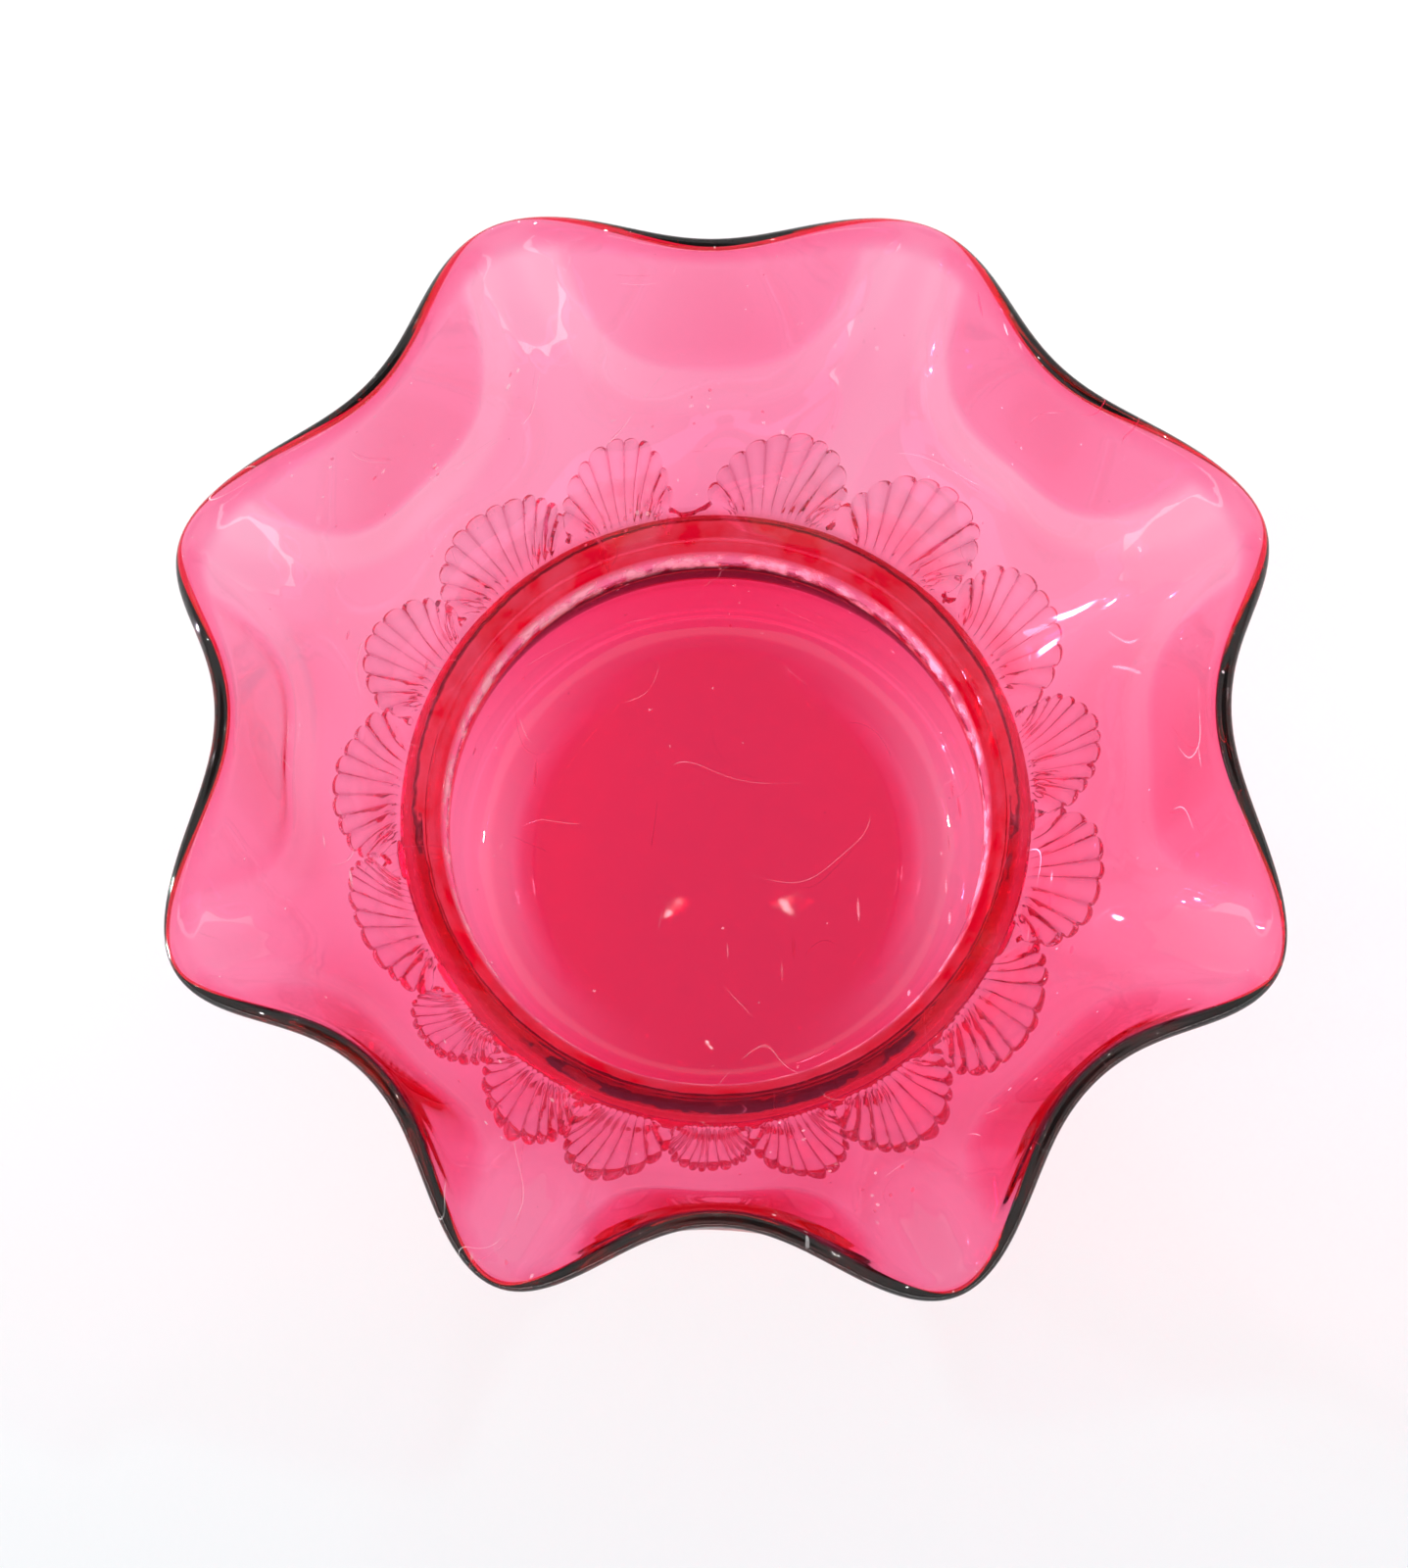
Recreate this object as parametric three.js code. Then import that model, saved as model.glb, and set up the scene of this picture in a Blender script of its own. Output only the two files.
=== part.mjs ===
// A ruby glass bowl with a rim crimped into eight lobes, and a frill of clear glass round its neck.
// The frill is one trail of hot glass pinched into a row of ribbed shells.
// Lengths are in millimetres and angles in degrees. +Z is up, and the origin is the middle of the base.
import * as THREE from "three";

// Outer surface of the cup, from the ground base up to the waist.
const BASE_RADIUS = 28.8;
const BELLY_RADIUS = 38.6;
const BELLY_HEIGHT = 12.4;
const WAIST_RADIUS = 36.6;
const WAIST_HEIGHT = 20.5;

// The neck, a collar over the waist that turns out into the flare. Slopes are measured from the horizontal.
const NECK_RISE = 6;
const NECK_FLARE = 1.8;
const NECK_SLOPE = 46;

// The flare from the neck to the rim.
const RIM_RADIUS = 63.9;
const RIM_HEIGHT = 64;
const RIM_SLOPE = 55;
const NECK_REACH = 26; // how far the flare stays an open cone before the crimps shape it
const RIM_REACH = 20; // how far in from the edge the crimps shape it fully

// The crimps: lobes that turn out and down, with drawn-in valleys between them.
const LOBES = 8;
const LOBE_TURN = 21; // angle of the first lobe
const LOBE_THROW = 5.5;
const LOBE_DROP = 4.8;
const LOBE_POINT = 0.5; // makes the lobes narrower than the valleys
const LOBE_TIP_DROP = 0.8;
const LOBE_SLOPE_SWING = 22; // the rim is flatter at a lobe, and a valley stands up steeply

// A rim worked by hand isn't true: it drifts to one side and leans, and it waves as it goes round.
const RIM_DRIFTS = [
  { size: 1.8, waves: 1, at: 13 },
  { size: 0.6, waves: 3, at: -53 },
];
const RIM_LEANS = [
  { size: 3.8, waves: 1, at: 108 },
  { size: 2.1, waves: 2, at: -26 },
  { size: 1.6, waves: 4, at: 18 },
];

// Thickness of the glass, greatest at the heel of the cup.
const FLOOR_WALL = 3.6;
const HEEL_WALL = 4.4;
const BELLY_WALL = 2.4;
const WAIST_WALL = 2;
const NECK_WALL = 2.2;
const RIM_WALL = 1.8;

// The clear trail, a bead laid round the neck.
const SEAT_GAP = 0.3; // between pieces that touch
const TRAIL_INSET = 0.3; // from the ends of the neck to the bead
const TRAIL_DEPTH = 2.5; // how far the bead stands out from the top of the neck
const TRAIL_SHOULDER = 0.6; // share of its depth at which its rounded shoulders turn
const TRAIL_ROUNDING = 0.9; // share of the shoulder's fall that comes after that turn

// The shells, fans that spring from the trail.
const SHELL_DEPTH = 8.2;
const SHELL_ROOT = 2.8; // thickness where a shell leaves the trail
const SHELL_EDGE = 1.6; // thickness at its outer edge
const SHELL_LIFT = 36; // slope at which it rises outwards
const SHELL_HEEL = 2.8; // from its root to the middle of its fan
const SHELL_WAIST = 0.7; // width of its root as a share of its full width
const FAN_SPREAD = 105; // angle from the crest of the fan to each end of its edge
const RIBS = 10;
const RIB_HEIGHT = 0.35;
const RIB_NOTCH = 0.3; // how far the edge dips between two ribs
const RIB_START = 0.3; // share of the depth that stays smooth under the pincers

// Each pinch as it was made by hand: the angles round the neck where it starts, ends and has its crest,
// and its depth as a share of a full one. A wider space before a pinch is where the trail's ends meet.
const PINCHES = [
  { from: -2, to: 17, crest: 9, depth: 1.05 },
  { from: 17.5, to: 41, crest: 31, depth: 1.17 },
  { from: 41.5, to: 66, crest: 51, depth: 1.27 },
  { from: 66, to: 88.5, crest: 75, depth: 1.17 },
  { from: 95.5, to: 115, crest: 103, depth: 1.15 },
  { from: 115, to: 139.5, crest: 126, depth: 1.04 },
  { from: 140, to: 160.5, crest: 150, depth: 1.06 },
  { from: 161, to: 186, crest: 175, depth: 0.93 },
  { from: 186.5, to: 210.5, crest: 196, depth: 0.88 },
  { from: 211, to: 226, crest: 217, depth: 0.8 },
  { from: 226.5, to: 243.5, crest: 237, depth: 0.95 },
  { from: 243.5, to: 260, crest: 250, depth: 1.05 },
  { from: 260.5, to: 273.5, crest: 267, depth: 0.7 },
  { from: 274, to: 289, crest: 283, depth: 1.05 },
  { from: 289, to: 308.5, crest: 298, depth: 1.12 },
  { from: 309, to: 334, crest: 319, depth: 1 },
  { from: 334.5, to: 357.5, crest: 346, depth: 1.08 },
];

// Steps of the facets.
const AROUND = 96;
const HEEL_STEPS = 5;
const CUP_STEPS = 3;
const NECK_STEPS = 2;
const FLARE_STEPS = 8;
const EDGE_STEPS = 4;
const SHELL_STEPS = 3;

const rad = THREE.MathUtils.degToRad;
const lerp = THREE.MathUtils.lerp;
const heading = (slope) => new THREE.Vector2(Math.cos(rad(slope)), Math.sin(rad(slope)));

// A point at a distance from the axis, an angle round it and a height.
const polar = (radius, angle, height) =>
  new THREE.Vector3(radius * Math.cos(angle), radius * Math.sin(angle), height);

// A curve between two points of a profile that leaves and arrives at given slopes.
function bend(start, startSlope, startReach, end, endSlope, endReach) {
  const leave = start.clone().addScaledVector(heading(startSlope), startReach);
  const arrive = end.clone().addScaledVector(heading(endSlope), -endReach);
  return new THREE.CubicBezierCurve(start, leave, arrive, end);
}

// The outer profile from the base to the top of the neck, the same all round.
const ROUND = 0.5523; // reach of a Bezier quarter circle as a share of its radius
const heelStart = new THREE.Vector2(BASE_RADIUS, 0);
const belly = new THREE.Vector2(BELLY_RADIUS, BELLY_HEIGHT);
const waist = new THREE.Vector2(WAIST_RADIUS, WAIST_HEIGHT);
const neckTop = new THREE.Vector2(WAIST_RADIUS + NECK_FLARE, WAIST_HEIGHT + NECK_RISE);
const cupReach = (WAIST_HEIGHT - BELLY_HEIGHT) / 2;
const heelCurve = bend(heelStart, 0, (BELLY_RADIUS - BASE_RADIUS) * ROUND, belly, 90, BELLY_HEIGHT * ROUND);
const cupCurve = bend(belly, 90, cupReach, waist, 90, cupReach);
const neckCurve = bend(waist, 90, NECK_RISE / 3, neckTop, NECK_SLOPE, NECK_RISE / 3);

// The sum of some hand-made waves at an angle round the rim.
const unevenness = (list, angle) =>
  list.reduce((sum, { size, waves, at }) => sum + size * Math.cos(waves * (angle - rad(at))), 0);

// The profile of the flare at an angle round the bowl, from the neck to the crimped edge.
function flareCurve(angle) {
  const turn = LOBES * (angle - rad(LOBE_TURN));
  const lobe = Math.cos(turn);
  const tip = Math.cos(2 * turn);
  const radius = RIM_RADIUS + LOBE_THROW * lobe + LOBE_POINT * tip + unevenness(RIM_DRIFTS, angle);
  const height = RIM_HEIGHT - LOBE_DROP * lobe - LOBE_TIP_DROP * tip + unevenness(RIM_LEANS, angle);
  const slope = RIM_SLOPE - LOBE_SLOPE_SWING * lobe;
  return bend(neckTop, NECK_SLOPE, NECK_REACH, new THREE.Vector2(radius, height), slope, RIM_REACH);
}

// The stations of the wall from the heel to the rim: the curve that each is on, how far along, and the
// thickness there.
function stretch(curveAt, steps, first, startWall, endWall) {
  const count = steps + 1 - first;
  return Array.from({ length: count }, (_, i) => {
    const share = (first + i) / steps;
    return { curveAt, share, wall: lerp(startWall, endWall, share) };
  });
}
const STATIONS = [
  ...stretch(() => heelCurve, HEEL_STEPS, 0, HEEL_WALL, BELLY_WALL),
  ...stretch(() => cupCurve, CUP_STEPS, 1, BELLY_WALL, WAIST_WALL),
  ...stretch(() => neckCurve, NECK_STEPS, 1, WAIST_WALL, NECK_WALL),
  ...stretch(flareCurve, FLARE_STEPS, 1, NECK_WALL, RIM_WALL),
];

function outerPoint({ curveAt, share }, angle) {
  const { x, y } = curveAt(angle).getPoint(share);
  return polar(x, angle, y);
}

// The direction into the glass at a station, and the direction along the wall towards the rim.
function wallFrame(station, angle) {
  const nearby = 1e-3;
  const slope = station.curveAt(angle).getTangent(station.share);
  const upwards = polar(slope.x, angle, slope.y);
  const round = outerPoint(station, angle + nearby).sub(outerPoint(station, angle - nearby)).normalize();
  const inwards = new THREE.Vector3().crossVectors(upwards, round).normalize();
  return { inwards, along: new THREE.Vector3().crossVectors(round, inwards) };
}

// Joins closed rings of points into a closed skin that faces out, with one more point at each end.
function skin(rings, [startPoint, endPoint]) {
  const count = rings[0].length;
  const lastRing = (rings.length - 1) * count;
  const startIndex = rings.length * count;
  const faces = [];
  for (let j = 0; j < count; j++) {
    const k = (j + 1) % count;
    for (let base = 0; base < lastRing; base += count) {
      const [a, b, c, d] = [base + j, base + k, base + count + k, base + count + j];
      faces.push(a, b, c, a, c, d);
    }
    faces.push(startIndex, k, j, startIndex + 1, lastRing + j, lastRing + k);
  }
  const geometry = new THREE.BufferGeometry().setFromPoints([...rings.flat(), startPoint, endPoint]);
  geometry.setIndex(faces);
  geometry.computeVertexNormals();
  return geometry;
}

// The bowl: up the outside, over the fire-polished edge, and down the inside to the floor.
function bowlGeometry() {
  const angles = Array.from({ length: AROUND }, (_, j) => (j / AROUND) * 2 * Math.PI);
  const outside = STATIONS.map((station) => angles.map((angle) => outerPoint(station, angle)));
  const inside = STATIONS.map((station) =>
    angles.map((angle) => {
      const { inwards } = wallFrame(station, angle);
      return outerPoint(station, angle).addScaledVector(inwards, station.wall);
    }),
  );
  const rim = STATIONS[STATIONS.length - 1];
  const edge = Array.from({ length: EDGE_STEPS - 1 }, (_, i) => {
    const turn = ((i + 1) / EDGE_STEPS) * Math.PI;
    return angles.map((angle) => {
      const { inwards, along } = wallFrame(rim, angle);
      return outerPoint(rim, angle)
        .addScaledVector(inwards, (RIM_WALL / 2) * (1 - Math.cos(turn)))
        .addScaledVector(along, (RIM_WALL / 2) * Math.sin(turn));
    });
  });
  return skin([...outside, ...edge, ...inside.reverse()], [polar(0, 0, 0), polar(0, 0, FLOOR_WALL)]);
}

// The trail: its inner side follows the neck at the seat gap, and its outer side is an upright band that
// the shells seat on.
const trailRadius = neckTop.x + TRAIL_DEPTH;
const trailMiddle = WAIST_HEIGHT + NECK_RISE / 2;

function trailGeometry() {
  const seat = [TRAIL_INSET / NECK_RISE, 0.5, 1 - TRAIL_INSET / NECK_RISE].map((share) => {
    const slope = neckCurve.getTangent(share);
    const outwards = new THREE.Vector2(slope.y, -slope.x);
    return neckCurve.getPoint(share).addScaledVector(outwards, SEAT_GAP);
  });
  const [low, , high] = seat;
  const bandLow = new THREE.Vector2(trailRadius, trailMiddle - SHELL_ROOT / 2);
  const bandHigh = new THREE.Vector2(trailRadius, trailMiddle + SHELL_ROOT / 2);
  const shoulder = (from, band) => {
    const rise = 1 - TRAIL_ROUNDING;
    return new THREE.Vector2(lerp(from.x, band.x, TRAIL_SHOULDER), lerp(from.y, band.y, rise));
  };
  const outer = [shoulder(low, bandLow), bandLow, bandHigh, shoulder(high, bandHigh)];
  const profile = [low, ...outer, ...seat.reverse()];
  return new THREE.LatheGeometry(profile, AROUND).rotateX(Math.PI / 2);
}

// One shell, straight from its pinch. Its outline is the widest fan that stays inside the pinch's angles,
// with its crest leaning to one side, and its ribs run from the smooth root out to the edge.
function shellGeometry({ from, to, crest, depth }) {
  const rootRadius = trailRadius + SEAT_GAP;
  const fanRadius = rootRadius + SHELL_HEEL;
  const fanDepth = SHELL_DEPTH * depth - SHELL_HEEL;
  const middle = rad((from + to) / 2);
  const half = rad((to - from) / 2);
  const lean = fanRadius * Math.sin(rad(crest) - middle);
  const room = fanRadius * Math.sin(half) - SEAT_GAP / 2;
  const tilted = Math.abs(lean) * Math.cos(half) + fanDepth * Math.sin(half);
  const halfWidth = Math.sqrt(room ** 2 - tilted ** 2) / Math.cos(half);

  // Places are across the shell and out from the bowl's axis, along the middle of the pinch.
  const place = (across, out, up) =>
    new THREE.Vector3(
      out * Math.cos(middle) - across * Math.sin(middle),
      out * Math.sin(middle) + across * Math.cos(middle),
      up,
    );

  const column = (side) => {
    const rib = Math.abs(Math.sin((Math.PI / 2) * RIBS * (side + 1)));
    const rootAngle = Math.asin((SHELL_WAIST * halfWidth * side) / rootRadius);
    const root = new THREE.Vector2(Math.sin(rootAngle), Math.cos(rootAngle)).multiplyScalar(rootRadius);
    const fan = rad(FAN_SPREAD) * side;
    const reach = 1 - (RIB_NOTCH / SHELL_DEPTH) * (1 - rib);
    const edge = new THREE.Vector2(
      (halfWidth * Math.sin(fan) + lean * Math.cos(fan)) * reach,
      fanRadius + fanDepth * Math.cos(fan) * reach,
    );
    const surface = (facing) =>
      Array.from({ length: SHELL_STEPS + 1 }, (_, i) => {
        const share = i / SHELL_STEPS;
        const { x, y } = root.clone().lerp(edge, share);
        const ribbed = rib * RIB_HEIGHT * THREE.MathUtils.smoothstep(share, 0, 1 - RIB_START);
        const thickness = lerp(SHELL_ROOT, SHELL_EDGE, share) / 2 + ribbed;
        const rise = (Math.hypot(x, y) - rootRadius) * Math.tan(rad(SHELL_LIFT));
        return place(x, y, trailMiddle + rise + facing * thickness);
      });
    return [...surface(1), ...surface(-1).reverse()];
  };

  const columns = Array.from({ length: 2 * RIBS + 1 }, (_, i) => column(i / RIBS - 1));
  const centre = (points) =>
    points.reduce((sum, point) => sum.add(point), new THREE.Vector3()).divideScalar(points.length);
  return skin(columns, [centre(columns[0]), centre(columns[columns.length - 1])]);
}

const ruby = new THREE.MeshStandardMaterial({ color: 0xe0245e, roughness: 0.05, metalness: 0 });
const clear = new THREE.MeshStandardMaterial({ color: 0xf3dbe3, roughness: 0.08, metalness: 0 });

const sugarBowl = new THREE.Group();

function add(name, geometry, material) {
  const mesh = new THREE.Mesh(geometry, material.clone());
  mesh.name = name;
  sugarBowl.add(mesh);
}

add("bowl", bowlGeometry(), ruby);
add("frill_trail", trailGeometry(), clear);
PINCHES.forEach((pinch, i) => {
  const number = String(i + 1).padStart(2, "0");
  add(`frill_shell_${number}`, shellGeometry(pinch), clear);
});

export default sugarBowl;
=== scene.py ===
import math
from collections import namedtuple

import bpy
import numpy as np
from mathutils import Matrix, Vector


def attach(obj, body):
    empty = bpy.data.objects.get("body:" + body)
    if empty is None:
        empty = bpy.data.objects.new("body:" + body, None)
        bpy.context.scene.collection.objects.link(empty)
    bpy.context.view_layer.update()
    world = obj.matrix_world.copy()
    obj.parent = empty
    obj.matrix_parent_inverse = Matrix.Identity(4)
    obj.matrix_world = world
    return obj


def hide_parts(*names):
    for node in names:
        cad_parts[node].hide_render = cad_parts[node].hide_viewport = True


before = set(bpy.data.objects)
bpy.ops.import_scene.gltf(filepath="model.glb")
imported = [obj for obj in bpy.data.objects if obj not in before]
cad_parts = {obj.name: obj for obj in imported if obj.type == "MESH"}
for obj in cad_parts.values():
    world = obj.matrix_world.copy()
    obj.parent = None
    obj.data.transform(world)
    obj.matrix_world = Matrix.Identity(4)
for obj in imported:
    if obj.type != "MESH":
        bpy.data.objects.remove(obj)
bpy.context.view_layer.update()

MM = 0.001
scene = bpy.context.scene
scene.view_settings.view_transform = "Standard"
scene.cycles.max_bounces = 24
scene.cycles.transmission_bounces = 24
scene.cycles.transparent_max_bounces = 24
scene.cycles.glossy_bounces = 8

# The camera: how far it tips from straight down, its roll, and its distance from the rim's plane.
IMAGE_WIDTH = 1437
TILT = 15
ROLL = -2.1
AIM_HEIGHT = 64
DISTANCE = 378
FOCAL = 3280  # in pixels of the image
PAN = (10.3, 53.8)  # pixels
SENSOR = 36


def add_camera():
    tilt, roll = math.radians(TILT), math.radians(ROLL)
    right = Vector((1, 0, 0))
    up = Vector((0, math.cos(tilt), math.sin(tilt)))
    back = Vector((0, -math.sin(tilt), math.cos(tilt)))
    side = math.cos(roll) * right + math.sin(roll) * up
    top = -math.sin(roll) * right + math.cos(roll) * up
    place = Vector((0, 0, AIM_HEIGHT)) + DISTANCE * back
    place -= (PAN[0] * side + PAN[1] * top) * DISTANCE / FOCAL
    data = bpy.data.cameras.new("camera")
    data.sensor_fit = "HORIZONTAL"
    data.sensor_width = SENSOR
    data.lens = SENSOR * FOCAL / IMAGE_WIDTH
    data.clip_start = 0.01
    camera = bpy.data.objects.new("camera", data)
    scene.collection.objects.link(camera)
    axes = Matrix((side, top, back)).transposed().to_4x4()
    camera.matrix_world = Matrix.Translation(place * MM) @ axes
    scene.camera = camera


add_camera()

# The bowl's outer profile and crimps, as in the solids.
BASE_RADIUS = 28.8
BELLY_RADIUS = 38.6
BELLY_HEIGHT = 12.4
WAIST_RADIUS = 36.6
WAIST_HEIGHT = 20.5
NECK_RISE = 6
NECK_FLARE = 1.8
NECK_SLOPE = 46
RIM_RADIUS = 63.9
RIM_HEIGHT = 64
RIM_SLOPE = 55
NECK_REACH = 26
RIM_REACH = 20
LOBES = 8
LOBE_TURN = 21
LOBE_THROW = 5.5
LOBE_DROP = 4.8
LOBE_POINT = 0.5
LOBE_TIP_DROP = 0.8
LOBE_SLOPE_SWING = 22
RIM_DRIFTS = [(1.8, 1, 13), (0.6, 3, -53)]  # size, waves, at
RIM_LEANS = [(3.8, 1, 108), (2.1, 2, -26), (1.6, 4, 18)]
# Its walls, which aren't the solids': they are set by how deep the colour is.
FLOOR_WALL = 4.3
FLOOR_FLAT = 24  # the floor keeps its thickness up to this radius
HEEL_WALL = 2.3
BELLY_WALL = 1.5
CUP_UNEVEN = 2.1  # how much thicker the cup is at the near and far sides
WAIST_WALL = 1.8
NECK_WALL = 1.9
RIM_WALL = 1.7
RIM_BEAD = 0.25  # how much thicker the fire-polished edge is
BEAD_SWELL = (0.94, 1)  # the shares of the flare where it thickens
ROUND = 0.5523


def heading(slope):
    slope = np.radians(slope)
    return np.stack([np.cos(slope), np.sin(slope)], axis=-1)


def bend(start, start_slope, start_reach, end, end_slope, end_reach):
    """The four control points of a profile curve that leaves and arrives at given slopes."""
    start, end = np.asarray(start, float), np.asarray(end, float)
    leave = start + heading(start_slope) * start_reach
    arrive = end - heading(end_slope) * end_reach
    shape = np.broadcast_shapes(start.shape, end.shape)
    return [np.broadcast_to(point, shape) for point in (start, leave, arrive, end)]


def along_bend(controls, t):
    a, b, c, d = controls
    s = 1 - t
    return a * s**3 + 3 * b * s * s * t + 3 * c * s * t * t + d * t**3


def slope_on_bend(controls, t):
    a, b, c, d = controls
    s = 1 - t
    return (b - a) * 3 * s * s + (c - b) * 6 * s * t + (d - c) * 3 * t * t


def waves(items, angle):
    return sum(size * np.cos(count * (angle - math.radians(at))) for size, count, at in items)


AROUND = 480
angles = np.arange(AROUND) * 2 * math.pi / AROUND
out_x, out_y = np.cos(angles), np.sin(angles)

belly = (BELLY_RADIUS, BELLY_HEIGHT)
waist = (WAIST_RADIUS, WAIST_HEIGHT)
neck_top = (WAIST_RADIUS + NECK_FLARE, WAIST_HEIGHT + NECK_RISE)
cup_reach = (WAIST_HEIGHT - BELLY_HEIGHT) / 2
heel_reach = (BELLY_RADIUS - BASE_RADIUS) * ROUND
heel_curve = bend((BASE_RADIUS, 0), 0, heel_reach, belly, 90, BELLY_HEIGHT * ROUND)
cup_curve = bend(belly, 90, cup_reach, waist, 90, cup_reach)
neck_curve = bend(waist, 90, NECK_RISE / 3, neck_top, NECK_SLOPE, NECK_RISE / 3)

turn = LOBES * (angles - math.radians(LOBE_TURN))
rim_radius = RIM_RADIUS + LOBE_THROW * np.cos(turn) + LOBE_POINT * np.cos(2 * turn)
rim_radius += waves(RIM_DRIFTS, angles)
rim_height = RIM_HEIGHT - LOBE_DROP * np.cos(turn) - LOBE_TIP_DROP * np.cos(2 * turn)
rim_height += waves(RIM_LEANS, angles)
rim_slope = RIM_SLOPE - LOBE_SLOPE_SWING * np.cos(turn)
rim = np.stack([rim_radius, rim_height], -1)
flare_curve = bend(neck_top, NECK_SLOPE, NECK_REACH, rim, rim_slope, RIM_REACH)


def smoothstep(t, low, high):
    t = np.clip((t - low) / (high - low), 0, 1)
    return t * t * (3 - 2 * t)


def ring(profile):
    """Points round the bowl for one profile point at each angle."""
    profile = np.broadcast_to(profile, (AROUND, 2))
    return np.stack([profile[:, 0] * out_x, profile[:, 0] * out_y, profile[:, 1]], -1)


def unit(v):
    return v / np.linalg.norm(v, axis=-1, keepdims=True)


def station(controls, t):
    """The outer ring at a share of a curve, the way into the glass there, and the way along to the rim."""
    outer = ring(along_bend(controls, t))
    round_way = unit(np.roll(outer, -1, 0) - np.roll(outer, 1, 0))
    inwards = unit(np.cross(ring(slope_on_bend(controls, t)), round_way))
    return outer, inwards, np.cross(round_way, inwards)


def link_mesh(name, points, faces):
    """A smooth-shaded object from points in millimetres."""
    mesh = bpy.data.meshes.new(name)
    mesh.from_pydata((np.asarray(points) * MM).tolist(), [], faces)
    mesh.validate()
    mesh.polygons.foreach_set("use_smooth", [True] * len(mesh.polygons))
    thing = bpy.data.objects.new(name, mesh)
    scene.collection.objects.link(thing)
    return thing


def mark_points(thing, name, values):
    """Store a number from 0 to 1 at each point, for the material to read."""
    thing.data.attributes.new(name, "FLOAT", "POINT").data.foreach_set("value", values)


BASE_RINGS = [6, 12, 18, 21, 23, 24, 24.8, 25.6, 26.4, 27.2, 28]
STRETCHES = [  # curve, steps, first step, wall at its start and at its end
    (heel_curve, 22, 0, HEEL_WALL, BELLY_WALL),
    (cup_curve, 10, 1, BELLY_WALL, WAIST_WALL),
    (neck_curve, 10, 1, WAIST_WALL, NECK_WALL),
    (flare_curve, 96, 1, NECK_WALL, RIM_WALL),
]
EDGE_STEPS = 12

# Crimping stretches the glass thin along the fold round each valley, which leaves a paler band there; that
# band is also a painted sheen.
# The panel inside the fold is left thicker, a deeper red of painted shade, or thinner, or as it was.
LOBE_STEP = 360 / LOBES
FOLD_HALF_WIDTH = 18.6  # degrees from the middle of a valley
FOLDS = [  # share of the flare that each takes, how much thinner it is, and how much thicker its panel is
    (0.55, 0.55, 0),
    (0.62, 0.25, 0.1),
    (0.6, 0.5, 0),
    (0.58, 0.32, -0.35),
    (0.63, 0.2, 0.3),
    (0.61, 0.12, 1),
    (0.62, 0.2, 0.4),
    (0.56, 0.32, 0),
]
FOLD_SQUARENESS = 2.2
FOLD_BAND = (0.83, 0.9)  # where the paler band begins, inside the fold
FOLD_FADE = (1.06, 1.2)  # where it fades to half, outside the fold
PANEL_END = (0.7, 0.88)  # where the panel's own thickness ends, inside the fold
FLARE_FOOT = (0, 0.16)  # the shares of the flare where it starts to be uneven
FLARE_EDGE = (0.93, 0.98)  # and where it ends
UNEVEN_WALL = [  # size, waves round, at, how far it turns along the flare
    (0.3, 1, 105, 0),
    (0.08, 3, 40, 2),
    (0.06, 5, 200, 4),
    (0.05, 9, 110, 3),
]


def by_valley(column):
    """One column of FOLDS, spread round the bowl from valley to valley."""
    valleys = LOBE_TURN + LOBE_STEP / 2 + LOBE_STEP * np.arange(LOBES)
    return np.interp(np.degrees(angles), valleys, [fold[column] for fold in FOLDS], period=360)


def folds(t):
    """Where a ring of the flare lies to the folds: under 1 in a valley, 1 on its fold, over 1 outside."""
    steps = np.degrees(angles) - LOBE_TURN
    across = np.abs(steps % LOBE_STEP - LOBE_STEP / 2)
    power = FOLD_SQUARENESS
    return ((across / FOLD_HALF_WIDTH) ** power + ((1 - t) / by_valley(0)) ** power) ** (1 / power)


def stretched_sheen_and_shade(t):
    """How much thinner crimping and handwork leave the flare's wall, in millimetres, round a ring, with
    its paler band a painted sheen and its thicker panels painted shade.
    """
    place = folds(t)
    panel = by_valley(2) * (1 - smoothstep(place, *PANEL_END))
    band = by_valley(1) * smoothstep(place, *FOLD_BAND) * (1 - 0.5 * smoothstep(place, *FOLD_FADE))
    uneven = sum(
        size * np.cos(count * (angles - math.radians(at)) + along * t)
        for size, count, at, along in UNEVEN_WALL
    )
    return (band - panel + uneven) * smoothstep(t, *FLARE_FOOT) * (1 - smoothstep(t, *FLARE_EDGE))


# Painted shade: the deep red inside the neck stands in for the darker red of its wall seen edge-on at the
# bend.
RED_FROM = (0.5, 0.68)  # shares of the neck's curve
RED_TO = (0.03, 0.06)  # shares of the flare
# The band of seeds inside the neck: its milkiness is partly a painted silvery sheen.
SEEDS_FROM = (0.1, 0.3)
SEEDS_TO = (0.55, 0.7)


def painted_neck_shade(controls, t):
    """Where deep red is painted on as shade: inside, from the middle of the neck to the foot of the flare.
    """
    if controls is neck_curve:
        return float(smoothstep(t, *RED_FROM))
    return float(1 - smoothstep(t, *RED_TO)) if controls is flare_curve else 0.0


def neck_seeds_and_sheen(controls, t):
    """Where the inside of the neck is full of seeds from laying the hot trail round it, and where its
    milky band is also a painted silvery sheen.
    """
    if controls is not neck_curve:
        return 0.0
    return float(smoothstep(t, *SEEDS_FROM) * (1 - smoothstep(t, *SEEDS_TO)))


def wall_at(controls, share, start_wall, end_wall, thick_sides):
    """The wall's thickness round a ring, before the crimping."""
    wall = start_wall + (end_wall - start_wall) * share
    if controls is flare_curve:
        wall += RIM_BEAD * smoothstep(share, *BEAD_SWELL)
    elif controls is heel_curve:
        wall = wall + thick_sides
    elif controls is cup_curve:
        wall = wall + thick_sides * (1 - smoothstep(share, 0, 1))
    return np.broadcast_to(wall, AROUND)


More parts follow.
